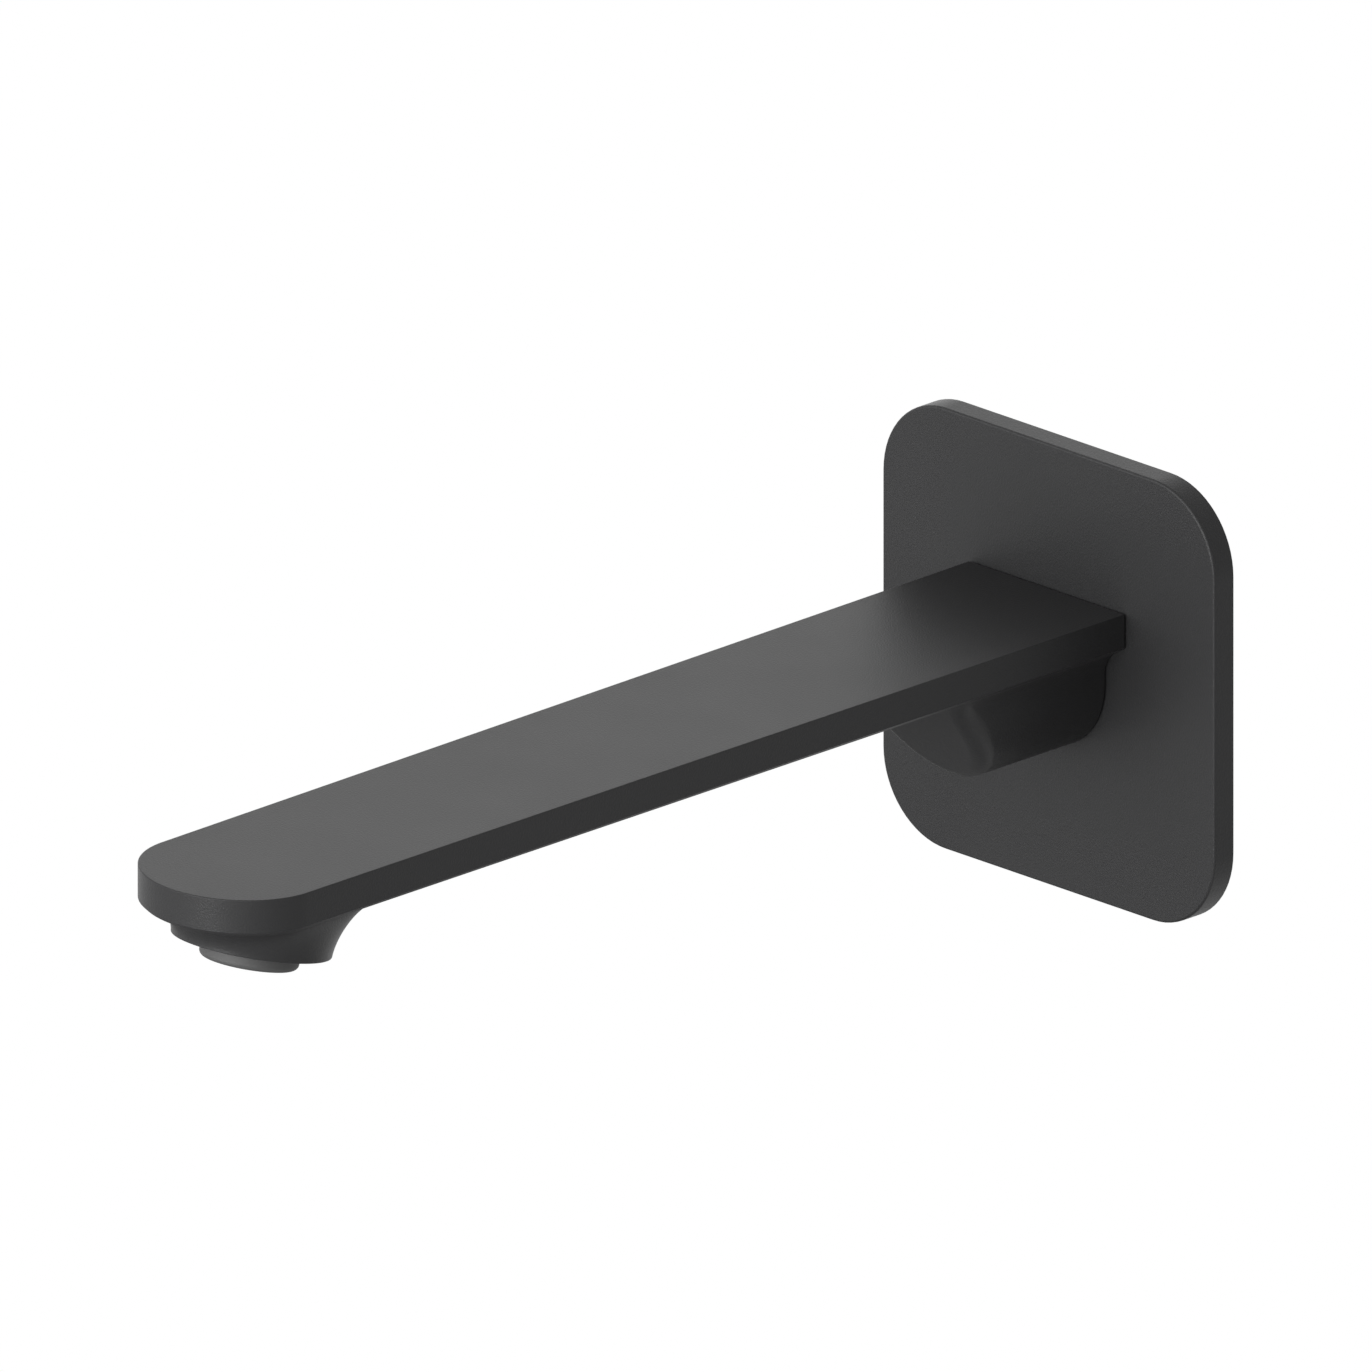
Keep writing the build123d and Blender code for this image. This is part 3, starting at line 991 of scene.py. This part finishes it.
def moulded_plastic(name, colour):
    return surface(name, colour, roughness=0.68, dimple=0.6 * MM, height=0.01 * MM, ior=1.65)


def bare_brass(finish):
    return surface(
        "bare_brass", finish.brass, roughness=0.35, dimple=0.4 * MM, height=0.004 * MM, metallic=1.0
    )


def black_rubber(finish):
    return surface("black_rubber", finish.rubber, roughness=0.6, dimple=0.5 * MM, height=0.01 * MM)


def foam_strip(finish):
    return surface(
        "foam", finish.foam, roughness=0.9, dimple=0.7 * MM, height=0.15 * MM,
        tone_change=0.3, patch=2 * MM,
    )


# Stage

FLOOR_RADIUS = 3.0
FLOOR_ROUGHNESS = 0.9
FLOOR_STEPS = 64
FARTHEST_SEEN = 20.0
LAMPS = {
    # name: (direction from the object, width in metres, power in watts)
    "left_front_lamp": ((-0.5, -1, 0.3), 2.4, 42.5),
    "right_front_lamp": ((0.5, -1, 0.3), 2.4, 43.0),
    "upper_front_lamp": ((0, -1, 0.85), 2.4, 21.8),
    "low_front_lamp": ((0, -1, -0.05), 0.7, 37.5),
    "left_rear_lamp": ((-1, 1, 0.35), 2.4, 7.2),
    "rear_lamp": ((0, 1, 0.3), 2.4, 4.0),
}


def background_rays(material_or_world):
    """1 for the rays that show the white background: those of the camera, of reflections and of glass."""
    nodes, link = material_or_world.node_tree.nodes, material_or_world.node_tree.links.new
    path = nodes.new("ShaderNodeLightPath")
    found = path.outputs["Is Camera Ray"]
    for kind in ("Is Glossy Ray", "Is Transmission Ray"):
        either = nodes.new("ShaderNodeMath")
        either.operation = "MAXIMUM"
        link(found, either.inputs[0])
        link(path.outputs[kind], either.inputs[1])
        found = either.outputs[0]
    return found


def floor_material(stage):
    """A pale floor that takes the object's shadow and fades into the white background around it."""
    material = bpy.data.materials.new("pale_floor")
    material.use_nodes = True
    nodes, link = material.node_tree.nodes, material.node_tree.links.new
    shader = nodes["Principled BSDF"]
    shader.inputs["Base Color"].default_value = (*stage.floor_tone, 1)
    shader.inputs["Roughness"].default_value = FLOOR_ROUGHNESS
    place = nodes.new("ShaderNodeTexCoord")
    flat = nodes.new("ShaderNodeMapping")
    flat.inputs["Location"].default_value = -stage.lit_middle
    flat.inputs["Scale"].default_value = (1, 1, 0)
    away = nodes.new("ShaderNodeVectorMath")
    away.operation = "LENGTH"
    fade = nodes.new("ShaderNodeMapRange")
    fade.interpolation_type = "SMOOTHSTEP"
    fade.inputs["From Min"].default_value = stage.lit_floor
    fade.inputs["From Max"].default_value = stage.white_floor
    share = nodes.new("ShaderNodeMath")
    share.operation = "MULTIPLY"
    white = nodes.new("ShaderNodeEmission")
    mix = nodes.new("ShaderNodeMixShader")
    link(place.outputs["Object"], flat.inputs["Vector"])
    link(flat.outputs[0], away.inputs[0])
    link(away.outputs["Value"], fade.inputs["Value"])
    link(fade.outputs[0], share.inputs[0])
    link(background_rays(material), share.inputs[1])
    link(share.outputs[0], mix.inputs[0])
    link(shader.outputs[0], mix.inputs[1])
    link(white.outputs[0], mix.inputs[2])
    link(mix.outputs[0], nodes["Material Output"].inputs["Surface"])
    return material


def white_world(ambient):
    """White in the picture and in reflections, and a soft even light elsewhere."""
    world = bpy.data.worlds.new("white_surroundings")
    bpy.context.scene.world = world
    world.use_nodes = True
    nodes, link = world.node_tree.nodes, world.node_tree.links.new
    shader = nodes["Background"]
    shader.inputs["Color"].default_value = (1, 1, 1, 1)
    level = nodes.new("ShaderNodeMapRange")
    level.inputs["To Min"].default_value = ambient
    link(background_rays(world), level.inputs["Value"])
    link(level.outputs[0], shader.inputs["Strength"])


class BATHSPOUT_OT_stage(bpy.types.Operator):
    """Sets up the camera, the floor and the soft light"""

    bl_idname = "bathspout.stage"
    bl_label = "Stage"

    def execute(self, context):
        scene = context.scene
        stage = scene.bath_spout_stage
        level = math.cos(stage.elevation)
        across, ahead = level * math.sin(stage.azimuth), level * math.cos(stage.azimuth)
        back = Vector((across, -ahead, math.sin(stage.elevation)))
        turn = back.to_track_quat("Z", "Y")
        right, up = turn @ Vector((1, 0, 0)), turn @ Vector((0, 1, 0))
        plate_middle = Vector((0, -PLATE_DEPTH, 0))
        aim = plate_middle - stage.plate_right * right - stage.plate_up * up
        camera = bpy.data.cameras.new("camera")
        camera.type = "ORTHO"
        camera.ortho_scale = stage.view_width
        camera.clip_end = FARTHEST_SEEN
        seen_from = bpy.data.objects.new("camera", camera)
        seen_from.location = aim + back
        seen_from.rotation_euler = turn.to_euler()
        scene.collection.objects.link(seen_from)
        scene.camera = seen_from

        bm = bmesh.new()
        bmesh.ops.create_circle(bm, cap_ends=True, segments=FLOOR_STEPS, radius=FLOOR_RADIUS)
        bmesh.ops.translate(bm, verts=bm.verts, vec=(0, 0, -stage.floor_drop))
        floor = as_object("floor", bm)
        floor.data.materials.append(floor_material(stage))

        middle = Vector((0, -ARM_REACH / 2, 0))
        for name, (direction, width, power) in LAMPS.items():
            light = bpy.data.lights.new(name, "AREA")
            light.shape = "DISK"
            light.size, light.energy = width, power
            towards = Vector(direction).normalized()
            lamp = bpy.data.objects.new(name, light)
            lamp.location = middle + stage.lamp_distance * towards
            lamp.rotation_euler = towards.to_track_quat("Z", "Y").to_euler()
            scene.collection.objects.link(lamp)
        white_world(stage.ambient)
        scene.view_settings.view_transform = "Standard"
        return {"FINISHED"}


OPERATORS = (
    BATHSPOUT_OT_body,
    BATHSPOUT_OT_cover_plate,
    BATHSPOUT_OT_inlet_thread,
    BATHSPOUT_OT_aerator,
    BATHSPOUT_OT_seals,
    BATHSPOUT_OT_stage,
)


class BATHSPOUT_PT_panel(bpy.types.Panel):
    """Lists the spout's pieces and the sizes and colours behind them"""

    bl_idname = "BATHSPOUT_PT_panel"
    bl_label = "Bath spout"
    bl_space_type = "VIEW_3D"
    bl_region_type = "UI"
    bl_category = "Bath spout"

    def draw(self, context):
        for operator in OPERATORS:
            self.layout.operator(operator.bl_idname)
        for name, group in GROUPS.items():
            box = self.layout.box()
            box.label(text=group.__doc__)
            for value in group.__annotations__:
                box.prop(getattr(context.scene, name), value)


def register():
    for group in GROUPS.values():
        bpy.utils.register_class(group)
    for name, group in GROUPS.items():
        setattr(bpy.types.Scene, name, PointerProperty(type=group))
    for shown in (*OPERATORS, BATHSPOUT_PT_panel):
        bpy.utils.register_class(shown)


def unregister():
    for shown in (BATHSPOUT_PT_panel, *reversed(OPERATORS)):
        bpy.utils.unregister_class(shown)
    for name in GROUPS:
        delattr(bpy.types.Scene, name)
    for group in reversed(GROUPS.values()):
        bpy.utils.unregister_class(group)


def main():
    register()
    bpy.ops.bathspout.body()
    bpy.ops.bathspout.cover_plate()
    bpy.ops.bathspout.inlet_thread()
    bpy.ops.bathspout.aerator()
    bpy.ops.bathspout.seals()
    bpy.ops.bathspout.stage()


if __name__ == "__main__":
    main()
